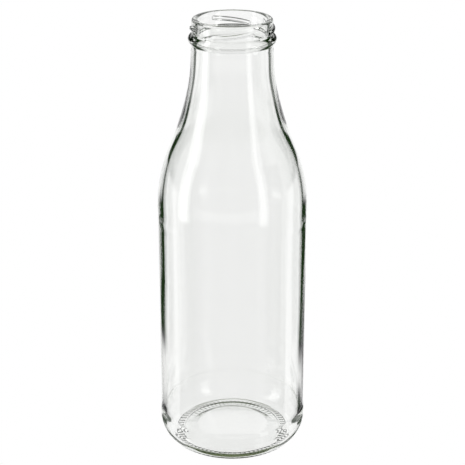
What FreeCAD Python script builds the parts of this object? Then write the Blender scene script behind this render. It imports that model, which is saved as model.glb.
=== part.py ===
# One-litre wide-mouth bottle in clear flint glass, blown in one piece.
# The outside is one turned outline: round heel, raised bearing ring and push-up base,
# a label panel set back between a heel band and a shoulder band, a long sloping
# shoulder, and a twist-off finish of 48 mm with four lugs and a transfer bead.
# Millimetres, +Z up, origin at the centre of the bearing ring.
import FreeCAD
import Part
import math
import os

# overall sizes
HEIGHT = 259.5
PANEL_DIAMETER = 87.2

# finish: a 48 mm twist-off with a smooth wall, four slanted lugs and a transfer bead
FINISH_DIAMETER = 45.2
MOUTH_WALL = 3.4
LIP_CROWN = 1.0
LUG_COUNT = 4
LUG_REACH = 1.2
LUG_THICKNESS = 2.3
LUG_FLANK_SHARE = 0.7
LUG_ROOT = 0.9
LUG_SINK = 0.35
LUG_RISE = 3.1
LUG_SPAN = 62.0
LUG_DEPTH = 5.5
FIRST_LUG_ANGLE = -88.0
BEAD_DEPTH = 11.2
BEAD_THICKNESS = 5.6
BEAD_REACH = 2.0
BEAD_NOSE_HEIGHT = 3.8
BEAD_NOSE_SHARE = 0.48

# neck and shoulder: angles from the vertical, rounds as shares of the step out to the body
NECK_LENGTH = 10.3
NECK_TAPER = 3.0
NECK_ANGLE = 13.7
SHOULDER_ANGLE = 23.0
UPPER_NECK_ROUND_SHARE = 5.4
LOWER_NECK_ROUND_SHARE = 8.8
SHOULDER_ROUND_SHARE = 4.3

# label panel between its two bands
SHOULDER_BAND_HEIGHT = 3.0
SHOULDER_BAND_STEP = 0.1
HEEL_BAND_TOP = 17.0
HEEL_BAND_STEP = 0.5
PANEL_EDGE_LENGTH = 4.5

# heel and base
HEEL_UPPER_ROUND = 17.0
HEEL_LOWER_ROUND = 6.2
HEEL_CHANGE_ANGLE = 40.0
HEEL_UNDER_SLOPE = 5.0
BEARING_SHARE = 0.76
BEARING_WIDTH = 3.8
BEARING_RING_HEIGHT = 0.8
PUSH_UP_DEPTH = 5.0
PUSH_UP_EDGE_ROUND = 2.2
PUSH_UP_SLOPE = 32.0
PUSH_UP_SHARE = 0.62

# glass thicknesses
BODY_WALL = 2.9
HEEL_FLOOR = 2.8
BASE_THICKNESS = 2.8
INNER_HEEL_ROUND = 9.0

# sizes that follow from those above
finish_radius = FINISH_DIAMETER / 2
mouth_radius = finish_radius - MOUTH_WALL
panel_radius = PANEL_DIAMETER / 2
shoulder_band_radius = panel_radius + SHOULDER_BAND_STEP
heel_band_radius = panel_radius + HEEL_BAND_STEP
bead_z = HEIGHT - BEAD_DEPTH
neck_radius = finish_radius + 0.2
neck_top_z = bead_z - BEAD_THICKNESS / 2
bearing_outer_radius = BEARING_SHARE * heel_band_radius
bearing_inner_radius = bearing_outer_radius - BEARING_WIDTH


def point(radius, z):
    return FreeCAD.Vector(radius, 0, z)


def line(start, end):
    return Part.makeLine(point(*start), point(*end))


def arc(start, middle, end):
    return Part.Arc(point(*start), point(*middle), point(*end)).toShape()


class Outline:
    """A chain of tangent lines and arcs in the radius-height plane.

    The heading is the angle from straight down, positive when it runs outward.
    """

    def __init__(self, radius, z, heading=0.0):
        self.at = (radius, z)
        self.heading = heading
        self.edges = []

    def straight_to(self, radius, z):
        self.edges.append(line(self.at, (radius, z)))
        self.at = (radius, z)

    def ahead(self, length):
        turn = math.radians(self.heading)
        radius = self.at[0] + length * math.sin(turn)
        z = self.at[1] - length * math.cos(turn)
        self.straight_to(radius, z)

    def through(self, middle, end):
        self.edges.append(arc(self.at, middle, end))
        self.at = end

    def turn_to(self, heading, bend):
        # bend is the radius of the arc; the heading grows when it bends outward
        side = 1.0 if heading > self.heading else -1.0
        first = math.radians(self.heading)
        centre_r = self.at[0] + side * bend * math.cos(first)
        centre_z = self.at[1] + side * bend * math.sin(first)

        def on_arc(angle):
            turn = math.radians(angle)
            radius = centre_r - side * bend * math.cos(turn)
            return (radius, centre_z - side * bend * math.sin(turn))

        self.through(on_arc((self.heading + heading) / 2), on_arc(heading))
        self.heading = heading

    def dome_to(self, top_z):
        # a shallow dome whose crown lies on the axis
        radius, rim_z = self.at
        rise = top_z - rim_z
        bend = (radius ** 2 + rise ** 2) / (2 * rise)
        half_way = math.asin(radius / bend) / 2
        middle_z = top_z - bend * (1 - math.cos(half_way))
        self.through((bend * math.sin(half_way), middle_z), (0.0, top_z))


def neck_to_heel(inset):
    """The outline from under the bead to the heel band, set in by the glass thickness."""
    step = shoulder_band_radius - neck_radius
    outline = Outline(neck_radius - inset, neck_top_z, NECK_TAPER)
    outline.ahead(NECK_LENGTH)
    outline.turn_to(NECK_ANGLE, UPPER_NECK_ROUND_SHARE * step + inset)
    outline.turn_to(SHOULDER_ANGLE, LOWER_NECK_ROUND_SHARE * step + inset)
    shoulder_round = SHOULDER_ROUND_SHARE * step - inset
    drop = shoulder_round * (1 - math.cos(math.radians(SHOULDER_ANGLE)))
    cone = shoulder_band_radius - inset - drop - outline.at[0]
    outline.ahead(cone / math.sin(math.radians(SHOULDER_ANGLE)))
    outline.turn_to(0.0, shoulder_round)
    return outline


def outer_outline():
    """The outside, from the lip down to the middle of the base."""
    outline = Outline(mouth_radius, HEIGHT - LIP_CROWN)
    outline.through(
        (finish_radius - MOUTH_WALL / 2, HEIGHT), (finish_radius, HEIGHT - LIP_CROWN)
    )
    outline.straight_to(finish_radius, bead_z + BEAD_THICKNESS / 2)
    bead_radius = finish_radius + BEAD_REACH
    shoulder_of_bead = bead_radius - BEAD_NOSE_SHARE * BEAD_REACH
    outline.straight_to(shoulder_of_bead, bead_z + BEAD_NOSE_HEIGHT / 2)
    outline.through((bead_radius, bead_z), (shoulder_of_bead, bead_z - BEAD_NOSE_HEIGHT / 2))
    outline.straight_to(neck_radius, neck_top_z)

    body = neck_to_heel(0.0)
    body.ahead(SHOULDER_BAND_HEIGHT)
    body.straight_to(panel_radius, body.at[1] - PANEL_EDGE_LENGTH)
    body.straight_to(panel_radius, HEEL_BAND_TOP + PANEL_EDGE_LENGTH)
    body.straight_to(heel_band_radius, HEEL_BAND_TOP)

    # heel: a long round that tightens, then a slightly sloping underside to the bearing ring
    heel = Outline(0.0, 0.0)
    heel.turn_to(-HEEL_CHANGE_ANGLE, HEEL_UPPER_ROUND)
    heel.turn_to(HEEL_UNDER_SLOPE - 90.0, HEEL_LOWER_ROUND)
    slope = math.tan(math.radians(HEEL_UNDER_SLOPE))
    foot_radius = bearing_outer_radius + BEARING_RING_HEIGHT
    under = BEARING_RING_HEIGHT + (heel_band_radius + heel.at[0] - foot_radius) * slope
    body.straight_to(heel_band_radius, under - heel.at[1])
    body.turn_to(-HEEL_CHANGE_ANGLE, HEEL_UPPER_ROUND)
    body.turn_to(HEEL_UNDER_SLOPE - 90.0, HEEL_LOWER_ROUND)
    body.straight_to(foot_radius, BEARING_RING_HEIGHT)
    body.straight_to(bearing_outer_radius, 0.0)
    body.straight_to(bearing_inner_radius, 0.0)

    # push-up: a round inner edge on the bearing ring, a sloping side and a shallow dome
    body.heading = -90.0
    body.turn_to(-90.0 - PUSH_UP_SLOPE, PUSH_UP_EDGE_ROUND)
    dome_radius = PUSH_UP_SHARE * bearing_outer_radius
    run = body.at[0] - dome_radius
    rise = run * math.tan(math.radians(PUSH_UP_SLOPE)) * 0.5
    body.straight_to(dome_radius, body.at[1] + rise)
    body.dome_to(max(PUSH_UP_DEPTH, body.at[1] + 0.5))
    outline.edges += body.edges
    return outline


def inner_outline():
    """The inside, from the lip down to the middle of the floor."""
    outline = Outline(mouth_radius, HEIGHT - LIP_CROWN)
    throat_z = neck_top_z + 2.0
    outline.straight_to(mouth_radius, throat_z)
    inside = neck_to_heel(BODY_WALL)
    outline.straight_to(neck_radius - BODY_WALL, neck_top_z)
    wall_radius = inside.at[0]
    inside.straight_to(wall_radius, HEEL_FLOOR + INNER_HEEL_ROUND)
    inside.turn_to(-80.0, INNER_HEEL_ROUND)
    inside.dome_to(max(PUSH_UP_DEPTH + BASE_THICKNESS, inside.at[1] + 1.0))
    outline.edges += inside.edges
    return outline


def bottle_body():
    outer = outer_outline()
    inner = inner_outline()
    axis = line((0.0, inner.edges[-1].Vertexes[-1].Z), (0.0, outer.edges[-1].Vertexes[-1].Z))
    edges = Part.__sortEdges__(outer.edges + inner.edges + [axis])
    section = Part.Face(Part.Wire(edges))
    # the seam of the turned faces lies midway between two lugs
    seam = FIRST_LUG_ANGLE + 180.0 / LUG_COUNT
    section.rotate(FreeCAD.Vector(0, 0, 0), FreeCAD.Vector(0, 0, 1), seam)
    return section.revolve(FreeCAD.Vector(0, 0, 0), FreeCAD.Vector(0, 0, 1), 360)


def lug_section(angle, z, nose):
    """A rounded ridge in the plane of one angle, rooted inside the finish wall."""
    half = LUG_THICKNESS / 2
    flank = nose - LUG_FLANK_SHARE * LUG_REACH
    root = flank - LUG_ROOT
    under = line((root, z - half), (flank, z - half * 0.95))
    front = arc((flank, z - half * 0.95), (nose, z - 0.1 * half), (flank, z + half * 0.8))
    over = line((flank, z + half * 0.8), (root, z + half))
    back = line((root, z + half), (root, z - half))
    wire = Part.Wire([under, front, over, back])
    wire.rotate(FreeCAD.Vector(0, 0, 0), FreeCAD.Vector(0, 0, 1), angle)
    return wire


def lug(centre_angle):
    """One lug, rising to the right along its span and sinking into the wall at both ends."""
    stations = 7
    sections = []
    for i in range(stations):
        share = i / (stations - 1)
        swell = math.sin(math.pi * share) ** 0.5 if 0 < i < stations - 1 else 0.0
        angle = centre_angle + (share - 0.5) * LUG_SPAN
        z = HEIGHT - LUG_DEPTH + (share - 0.5) * LUG_RISE
        nose = finish_radius - LUG_SINK + (LUG_REACH + LUG_SINK) * swell
        sections.append(lug_section(angle, z, nose))
    return Part.makeLoft(sections, True, False)


bottle = bottle_body()
pitch = 360.0 / LUG_COUNT
lugs = [lug(FIRST_LUG_ANGLE + i * pitch) for i in range(LUG_COUNT)]
bottle = bottle.fuse(lugs)
bottle = bottle.Solids[0]

os.makedirs("parts", exist_ok=True)
bottle.exportStep("parts/bottle.step")
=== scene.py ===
import math
import bpy
import numpy as np
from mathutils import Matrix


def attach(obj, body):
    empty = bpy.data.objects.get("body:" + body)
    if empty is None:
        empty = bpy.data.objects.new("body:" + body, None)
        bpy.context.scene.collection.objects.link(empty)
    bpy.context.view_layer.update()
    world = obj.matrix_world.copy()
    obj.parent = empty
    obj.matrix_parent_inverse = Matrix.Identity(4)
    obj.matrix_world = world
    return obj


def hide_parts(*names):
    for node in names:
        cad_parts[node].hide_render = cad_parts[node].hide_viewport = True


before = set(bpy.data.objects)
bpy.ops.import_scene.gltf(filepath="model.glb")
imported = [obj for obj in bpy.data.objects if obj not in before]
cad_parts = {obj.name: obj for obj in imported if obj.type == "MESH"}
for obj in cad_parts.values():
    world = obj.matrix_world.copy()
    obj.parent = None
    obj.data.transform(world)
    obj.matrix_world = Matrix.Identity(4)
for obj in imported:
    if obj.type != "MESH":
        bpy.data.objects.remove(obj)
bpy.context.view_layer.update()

MM = 0.001

# ---------------------------------------------------------------- sizes, in mm
HEIGHT = 259.5
PANEL_RADIUS = 43.6
FINISH_RADIUS = 22.6
MOUTH_WALL = 3.4
LIP_ROUND = 1.35
BEAD_Z = HEIGHT - 11.2
BEAD_HALF = 2.8
BEAD_REACH = 2.0
BEAD_FOOT = BEAD_Z - BEAD_HALF - 2.2
NECK_RADIUS = 22.8
NECK_TOP = BEAD_Z - BEAD_HALF
NECK_LENGTH = 10.3
NECK_FLARE = 3.0
FLARE_MIDDLE = 13.7
SHOULDER_SLOPE = 23.0
FLARE_ROUND_SHARE = 5.4
FLARE_FOOT_SHARE = 8.8
SHOULDER_ROUND_SHARE = 4.3
SHOULDER_BAND = PANEL_RADIUS + 0.1
SHOULDER_BAND_LENGTH = 3.0
PANEL_EDGE = 4.5
HEEL_BAND = PANEL_RADIUS + 0.5
HEEL_BAND_TOP = 17.0
HEEL_UPPER_ROUND = 17.0
HEEL_LOWER_ROUND = 6.2
HEEL_CHANGE_ANGLE = 40.0
HEEL_UNDER_SLOPE = 5.0
BEARING_OUTER = 0.76 * HEEL_BAND
BEARING_INNER = BEARING_OUTER - 3.8
RING_DROP = 0.8
PUSH_UP = 5.0
PUSH_UP_EDGE_ROUND = 2.2
PUSH_UP_SLOPE = 32.0
PUSH_UP_EDGE = 0.62 * BEARING_OUTER
BODY_WALL = 2.9
HEEL_FLOOR = 2.8
FLOOR_TOP = PUSH_UP + 2.8
INNER_HEEL = 8.2

# lugs
LUGS = 4
FIRST_LUG = -88.0
LUG_LENGTH = 62.0
LUG_RISE = 3.1
LUG_HALF = 1.25
LUG_REACH = 1.2
LUG_MIDDLE = HEIGHT - 5.5

# fine relief that only the scene has
MOULD_LINE_Z = 13.6
RING_BARS = 72
BAR_DEPTH = 0.32
NECK_ROOT = 0.9
NECK_ROOT_Z = 196.0
NECK_ROOT_SPREAD = 13.0
SETTLE_Z = 139.5
SETTLE_STEP = 0.035
SEGMENTS = 576

# waves that make the blown wall uneven: how many go round, radians per mm up, phase, height in mm
OUTER_WAVES = ((3, 0.021, 0.4, 0.5), (5, -0.034, 2.1, 0.3), (8, 0.05, 4.0, 0.2))
INNER_WAVES = (
    (1, 0.006, 0.9, 0.20),
    (2, 0.013, 2.6, 0.20),
    (3, -0.027, 4.4, 0.12),
    (5, 0.041, 1.2, 0.06),
    (7, -0.063, 3.0, 0.035),
    (4, 0.11, 5.1, 0.03),
)
SETTLE_WAVES = ((1, 0, 0.3, 1.2), (3, 0, 2.0, 0.8))


class Outline:
    """Lines and arcs in the plane of radius and height; the heading is turned from straight down."""

    def __init__(self, r, z, heading=0.0):
        self.r, self.z, self.heading = r, z, heading
        self.points = [(r, z)]

    def add(self, r, z):
        self.r, self.z = r, z
        self.points.append((r, z))

    def line(self, r, z, pitch):
        count = max(1, int(math.hypot(r - self.r, z - self.z) / pitch + 0.5))
        r0, z0 = self.r, self.z
        for i in range(1, count + 1):
            self.add(r0 + (r - r0) * i / count, z0 + (z - z0) * i / count)

    def ahead(self, length, pitch):
        turn = math.radians(self.heading)
        self.line(self.r + length * math.sin(turn), self.z - length * math.cos(turn), pitch)

    def turn(self, heading, bend, pitch):
        side = 1.0 if heading > self.heading else -1.0
        first = math.radians(self.heading)
        cr = self.r + side * bend * math.cos(first)
        cz = self.z + side * bend * math.sin(first)
        arc = abs(math.radians(heading - self.heading)) * bend
        count = max(3, int(arc / pitch + 0.5))
        for i in range(1, count + 1):
            a = math.radians(self.heading + (heading - self.heading) * i / count)
            self.add(cr - side * bend * math.cos(a), cz - side * bend * math.sin(a))
        self.heading = heading

    def ease(self, r, length, pitch):
        """A soft step between two upright parts."""
        count = max(4, int(length / pitch + 0.5))
        r0, z0 = self.r, self.z
        for i in range(1, count + 1):
            t = i / count
            s = t * t * (3 - 2 * t)
            self.add(r0 + (r - r0) * s, z0 - length * t)

    def dome(self, top, pitch):
        """A round cap from here to the axis, with its highest point at top."""
        r, z = self.r, self.z
        rise = top - z
        bend = (r * r + rise * rise) / (2 * rise)
        whole = math.asin(r / bend)
        count = max(6, int(r / pitch))
        for i in range(1, count + 1):
            a = whole * (1 - i / count)
            self.add(bend * math.sin(a), top - bend * (1 - math.cos(a)))


def neck_and_shoulder(inset):
    step = SHOULDER_BAND - NECK_RADIUS
    slope = math.radians(SHOULDER_SLOPE)
    o = Outline(NECK_RADIUS - inset, NECK_TOP, NECK_FLARE)
    o.ahead(NECK_LENGTH, 1.0)
    o.turn(FLARE_MIDDLE, FLARE_ROUND_SHARE * step + inset, 1.5)
    o.turn(SHOULDER_SLOPE, FLARE_FOOT_SHARE * step + inset, 1.5)
    bend = SHOULDER_ROUND_SHARE * step - inset
    cone = SHOULDER_BAND - inset - bend * (1 - math.cos(slope)) - o.r
    o.ahead(cone / math.sin(slope), 1.5)
    o.turn(0.0, bend, 1.5)
    return o


def outer_profile():
    o = Outline(FINISH_RADIUS - LIP_ROUND, HEIGHT, 90.0)
    o.turn(0.0, LIP_ROUND, 0.2)
    o.line(FINISH_RADIUS, BEAD_Z + BEAD_HALF + 0.6, 0.2)
    # the transfer bead: a round nose that runs out into the neck in a long soft hollow
    count = 56
    z0 = BEAD_Z + BEAD_HALF + 0.6
    z1 = BEAD_FOOT
    for i in range(1, count + 1):
        t = i / count
        z = z0 + (z1 - z0) * t
        wall = FINISH_RADIUS + (NECK_RADIUS + 0.05 - FINISH_RADIUS) * t
        u = (z - BEAD_Z) / (BEAD_HALF + (0.5 if z > BEAD_Z else 0.6))
        bulge = BEAD_REACH * max(0.0, 1 - abs(u) ** 2.1) ** (1.3 if z > BEAD_Z else 1.2)
        o.add(wall + bulge, z)
    body = neck_and_shoulder(0.0)
    o.points += [p for p in body.points if p[1] < z1 - 0.3]
    body.points = []
    body.ahead(SHOULDER_BAND_LENGTH, 1.2)
    body.ease(PANEL_RADIUS, PANEL_EDGE, 0.4)
    body.line(PANEL_RADIUS, HEEL_BAND_TOP + PANEL_EDGE, 2.5)
    body.ease(HEEL_BAND, PANEL_EDGE, 0.4)
    # the same two rounds, run once from nothing, tell how high the heel starts
    heel = Outline(0.0, 0.0)
    heel.turn(-HEEL_CHANGE_ANGLE, HEEL_UPPER_ROUND, 0.4)
    heel.turn(HEEL_UNDER_SLOPE - 90.0, HEEL_LOWER_ROUND, 0.25)
    foot = BEARING_OUTER + RING_DROP
    under = RING_DROP + (HEEL_BAND + heel.r - foot) * math.tan(math.radians(HEEL_UNDER_SLOPE))
    body.line(HEEL_BAND, 15.0, 0.6)
    body.line(HEEL_BAND, under - heel.z, 0.1)
    body.turn(-HEEL_CHANGE_ANGLE, HEEL_UPPER_ROUND, 0.35)
    body.turn(HEEL_UNDER_SLOPE - 90.0, HEEL_LOWER_ROUND, 0.25)
    body.line(foot, RING_DROP, 0.35)
    body.line(BEARING_OUTER + 0.1, 0.08, 0.15)
    body.line(BEARING_OUTER - 0.1, 0.0, 0.15)
    body.line(BEARING_INNER, 0.0, 0.25)
    body.heading = -90.0
    body.turn(-90.0 - PUSH_UP_SLOPE, PUSH_UP_EDGE_ROUND, 0.2)
    climb = math.tan(math.radians(PUSH_UP_SLOPE)) * 0.5
    body.line(PUSH_UP_EDGE, body.z + (body.r - PUSH_UP_EDGE) * climb, 0.5)
    body.dome(PUSH_UP, 1.2)
    o.points += body.points
    return np.array(o.points)


def inner_profile():
    mouth = FINISH_RADIUS - MOUTH_WALL
    o = Outline(mouth + LIP_ROUND, HEIGHT, -90.0)
    o.turn(0.0, LIP_ROUND, 0.2)
    o.line(mouth, NECK_TOP + 3.0, 0.8)
    o.ease(NECK_RADIUS - BODY_WALL, 4.0, 0.5)
    inside = neck_and_shoulder(BODY_WALL)
    o.points += [p for p in inside.points if p[1] < NECK_TOP - 1.5]
    inside.points = []
    inside.line(inside.r, HEEL_FLOOR + INNER_HEEL, 1.5)
    inside.turn(-80.0, INNER_HEEL, 0.5)
    inside.dome(FLOOR_TOP, 1.0)
    o.points += inside.points
    return np.array(o.points)


def waves(theta, z, table):
    """A smooth sum of waves that closes round the bottle."""
    total = np.zeros(np.broadcast(theta, z).shape)
    for count, rate, phase, height in table:
        total += height * np.sin(count * theta + rate * z + phase)
    return total


def smooth(lo, hi, x):
    t = np.clip((x - lo) / (hi - lo), 0, 1)
    return t * t * (3 - 2 * t)


theta = np.linspace(0, 2 * math.pi, SEGMENTS, endpoint=False)[None, :]


def shape_outer(profile):
    r = profile[:, :1] + 0 * theta
    z = profile[:, 1:] + 0 * theta
    # lugs that rise to the right
    for i in range(LUGS):
        centre = math.radians(FIRST_LUG + 360.0 / LUGS * i)
        swing = (theta - centre + math.pi) % (2 * math.pi) - math.pi
        share = np.clip(0.5 + swing / math.radians(LUG_LENGTH), 0, 1)
        swell = np.sin(math.pi * share) ** 0.5
        u = (z - LUG_MIDDLE - (share - 0.5) * LUG_RISE) / LUG_HALF
        ridge = np.clip(1 - np.abs(u) ** 2.4, 0, 1) ** 0.8
        r = r + np.where(z > BEAD_Z + 2.2, LUG_REACH * swell * ridge, 0)
    # fine line left where the bottom plate of the mould meets its sides
    r = r + 0.07 * np.exp(-(((z - MOULD_LINE_Z) / 0.16) ** 2))
    # bars pressed into the bearing ring
    flat = smooth(BEARING_INNER - 0.3, BEARING_INNER + 0.5, profile[:, :1]) * (
        1 - smooth(BEARING_OUTER - 0.4, BEARING_OUTER + 0.5, profile[:, :1])
    )
    flat = np.where(profile[:, 1:] < 0.2, flat, 0)
    bars = 0.5 - 0.5 * np.cos(RING_BARS * theta)
    z = z + BAR_DEPTH * flat * smooth(0.3, 0.8, bars)
    # the faint unevenness of a blown wall
    band = smooth(24, 40, z) * (1 - smooth(215, 235, z))
    r = r - 0.02 * band * (1 + waves(theta, z, OUTER_WAVES))
    return r, z


def shape_inner(profile):
    r = profile[:, :1] + 0 * theta
    z = profile[:, 1:] + 0 * theta
    band = smooth(8, 26, z) * (1 - smooth(226, 240, z))
    r = r + 0.5 * band * waves(theta, z, INNER_WAVES)
    # a little more glass is left where the neck opens into the shoulder
    r = r - NECK_ROOT * np.exp(-(((z - NECK_ROOT_Z) / NECK_ROOT_SPREAD) ** 2))
    # the wall is a little thinner above the settle wave
    settle = SETTLE_Z + waves(theta, 0, SETTLE_WAVES)
    r = r + SETTLE_STEP * smooth(-1.3, 1.3, z - settle) * (1 - smooth(150, 190, z))
    return r, z


def bottle_mesh():
    ro, zo = shape_outer(outer_profile())
    ri, zi = shape_inner(inner_profile())
    # from the middle of the base outside, up, over the lip and down to the middle of the floor
    r = np.vstack([ro[::-1], ri])
    z = np.vstack([zo[::-1], zi])
    r, z = r[1:-1], z[1:-1]
    rows = r.shape[0]
    verts = np.empty((rows * SEGMENTS + 2, 3))
    verts[:-2, 0] = (r * np.cos(theta)).ravel()
    verts[:-2, 1] = (r * np.sin(theta)).ravel()
    verts[:-2, 2] = z.ravel()
    verts[-2] = (0, 0, zo[-1, 0])
    verts[-1] = (0, 0, zi[-1, 0])
    j = np.arange(SEGMENTS)
    k = (j + 1) % SEGMENTS
    faces = []
    for i in range(rows - 1):
        a, b = i * SEGMENTS, (i + 1) * SEGMENTS
        faces += np.stack([a + j, a + k, b + k, b + j], 1).tolist()
    under, floor = rows * SEGMENTS, rows * SEGMENTS + 1
    faces += np.stack([np.full(SEGMENTS, under), k, j], 1).tolist()
    last = (rows - 1) * SEGMENTS
    faces += np.stack([last + j, last + k, np.full(SEGMENTS, floor)], 1).tolist()
    mesh = bpy.data.meshes.new("bottle_glass")
    mesh.from_pydata((verts * MM).tolist(), [], faces)
    mesh.update()
    mesh.polygons.foreach_set("use_smooth", [True] * len(mesh.polygons))
    ob = bpy.data.objects.new("bottle_glass", mesh)
    bpy.context.scene.collection.objects.link(ob)
    return ob


# ---------------------------------------------------------------- glass
GLASS_IOR = 1.52
GLASS_TINT = (0.52, 0.76, 0.34, 1)
GLASS_DENSITY = 5.0


def glass_material():
    """Clear flint glass, faintly green where light runs far through it."""
    m = bpy.data.materials.new("flint_glass")
    m.use_nodes = True
    nt = m.node_tree
    nt.nodes.clear()
    out = nt.nodes.new("ShaderNodeOutputMaterial")
    p = nt.nodes.new("ShaderNodeBsdfPrincipled")
    p.inputs["Base Color"].default_value = (1, 1, 1, 1)
    p.inputs["Roughness"].default_value = 0.0
    p.inputs["IOR"].default_value = GLASS_IOR
    p.inputs["Transmission Weight"].default_value = 1.0
    nt.links.new(p.outputs[0], out.inputs["Surface"])
    v = nt.nodes.new("ShaderNodeVolumeAbsorption")
    v.inputs["Color"].default_value = GLASS_TINT
    v.inputs["Density"].default_value = GLASS_DENSITY
    nt.links.new(v.outputs[0], out.inputs["Volume"])
    return m


bottle = bottle_mesh()
bottle.data.materials.append(glass_material())
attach(bottle, "root")
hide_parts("bottle")

# ---------------------------------------------------------------- surroundings
scene = bpy.context.scene
scene.view_settings.view_transform = "Standard"
world = bpy.data.worlds.new("studio")
scene.world = world
world.use_nodes = True
wt = world.node_tree
wt.nodes.clear()


def math_node(op, a, b=None, c=None):
    n = wt.nodes.new("ShaderNodeMath")
    n.operation = op
    for i, x in enumerate((a, b, c)):
        if x is None:
            continue
        if isinstance(x, (int, float)):
            n.inputs[i].default_value = x
        else:
            wt.links.new(x, n.inputs[i])
    return n.outputs[0]


def ramp(x, lo, hi):
    """0 below lo, 1 above hi, with a soft rise between."""
    n = wt.nodes.new("ShaderNodeMapRange")
    n.interpolation_type = "SMOOTHSTEP"
    wt.links.new(x, n.inputs["Value"])
    n.inputs["From Min"].default_value = lo
    n.inputs["From Max"].default_value = hi
    n.inputs["To Min"].default_value = 0.0
    n.inputs["To Max"].default_value = 1.0
    return n.outputs["Result"]


DEGREES = 180 / math.pi
coords = wt.nodes.new("ShaderNodeTexCoord")
sep = wt.nodes.new("ShaderNodeSeparateXYZ")
wt.links.new(coords.outputs["Generated"], sep.inputs[0])
# degrees: azimuth 0 is behind the bottle and grows to the right, elevation is up from the horizon
azimuth = math_node("MULTIPLY", math_node("ARCTAN2", sep.outputs[0], sep.outputs[1]), DEGREES)
elevation = math_node("MULTIPLY", math_node("ARCSINE", sep.outputs[2]), DEGREES)


def around(centre):
    """How far the direction lies from that azimuth, in degrees, without sign."""
    x = math_node("SUBTRACT", azimuth, centre)
    x = math_node("WRAP", x, 180.0, -180.0)
    return math_node("ABSOLUTE", x)


def patch(centre, half, edge, low, high, soft, level):
    """A bright field: azimuth, half width and its softness, elevations and their softness, level."""
    across = math_node("SUBTRACT", 1.0, ramp(around(centre), half - edge, half + edge))
    bottom = ramp(elevation, low - soft, low + soft)
    top = math_node("SUBTRACT", 1.0, ramp(elevation, high - soft, high + soft))
    both = math_node("MULTIPLY", math_node("MULTIPLY", across, bottom), top)
    return math_node("MULTIPLY", both, level)


def most(*values):
    """The largest of several values."""
    total = values[0]
    for v in values[1:]:
        total = math_node("MAXIMUM", total, v)
    return total


# the pale table to the sides, dimmer toward the camera
table = math_node("SUBTRACT", 1.0, ramp(elevation, -35, -31))
near = math_node("MULTIPLY", ramp(around(0), 95, 125), 0.85)
table = math_node("MULTIPLY", table, math_node("SUBTRACT", 1.0, near))
table = math_node("MULTIPLY", table, ramp(around(0), 50, 54))
# painted shadow: what lies steeply below is dim and olive, standing in for the bottle's own shadow
# on the table
painted_shadow_below = math_node("SUBTRACT", 1.0, ramp(elevation, -54, -50))
level = most(
    # the backdrop, with a dark gap on each side that gives the glass its dark edges
    patch(0, 22, 2, -90, -1, 2, 1.0),
    patch(0, 30, 5, 6, 50, 2, 0.9),
    patch(0, 34, 3, -18, -6, 1.5, 0.85),
    # pale walls beyond the gaps
    patch(-68, 18, 2, -90, -4, 2, 0.95),
    patch(68, 18, 2, -90, -4, 2, 0.95),
    # two tall lamps, to the left and to the right of the camera, and their dim lower parts
    patch(-100, 9, 2, -19, 50, 2, 2.4),
    patch(131, 7, 1.5, -19, 42, 3, 1.9),
    patch(-98, 10, 1.5, -60, -19, 2, 0.25),
    patch(134, 8, 1.5, -60, -19, 2, 0.25),
    # the dim room behind the camera, and a paler strip in it
    patch(180, 60, 10, -90, 90, 5, 0.10),
    patch(180, 60, 10, -15, -7, 1.5, 0.5),
    # a narrow light strip across each gap
    patch(-38, 14, 2, -29, -26.5, 0.8, 0.85),
    patch(38, 14, 2, -29, -27.3, 0.8, 0.85),
    table,
)
# the glass looks clear from every side: a ray that was never reflected finds the camera's half of
# the studio pale, and finds the other half pale too once it has crossed both walls
BOTH_WALLS_FACES = 4.0
path = wt.nodes.new("ShaderNodeLightPath")
straight = math_node("LESS_THAN", path.outputs["Glossy Depth"], 0.5)
both_walls = math_node("COMPARE", path.outputs["Transmission Depth"], BOTH_WALLS_FACES, 0.5)
both_walls = math_node("MULTIPLY", both_walls, straight)
level = most(
    level,
    math_node("MULTIPLY", patch(180, 92, 3, -90, 90, 5, 0.95), straight),
    math_node("MULTIPLY", patch(0, 92, 3, -90, 90, 5, 0.95), both_walls),
)
# for red, green and blue: the darkest level, and the share lost in the painted olive shadow that
# lies steeply below
STUDIO_COLOURS = ((0.012, 0.88), (0.030, 0.85), (0.009, 0.93))
colour = wt.nodes.new("ShaderNodeCombineXYZ")
for i, (dark, loss) in enumerate(STUDIO_COLOURS):
    kept = math_node("SUBTRACT", 1.0, math_node("MULTIPLY", painted_shadow_below, loss))
    wt.links.new(math_node("MAXIMUM", math_node("MULTIPLY", level, kept), dark), colour.inputs[i])
# the camera itself sees plain white
lit = wt.nodes.new("ShaderNodeBackground")
wt.links.new(colour.outputs[0], lit.inputs["Color"])
white = wt.nodes.new("ShaderNodeBackground")
white.inputs["Color"].default_value = (1, 1, 1, 1)
mix = wt.nodes.new("ShaderNodeMixShader")
wt.links.new(path.outputs["Is Camera Ray"], mix.inputs[0])
wt.links.new(lit.outputs[0], mix.inputs[1])
wt.links.new(white.outputs[0], mix.inputs[2])
wout = wt.nodes.new("ShaderNodeOutputWorld")
wt.links.new(mix.outputs[0], wout.inputs[0])

# ---------------------------------------------------------------- camera
CAMERA_AT = (0.0001, -0.7132, 0.4188)
CAMERA_DOWN = 21.91
data = bpy.data.cameras.new("camera")
data.sensor_width = 36.0
data.lens = 101.29
data.clip_start = 0.01
camera = bpy.data.objects.new("camera", data)
scene.collection.objects.link(camera)
camera.location = CAMERA_AT
camera.rotation_euler = (math.radians(90 - CAMERA_DOWN), 0, 0)
scene.camera = camera
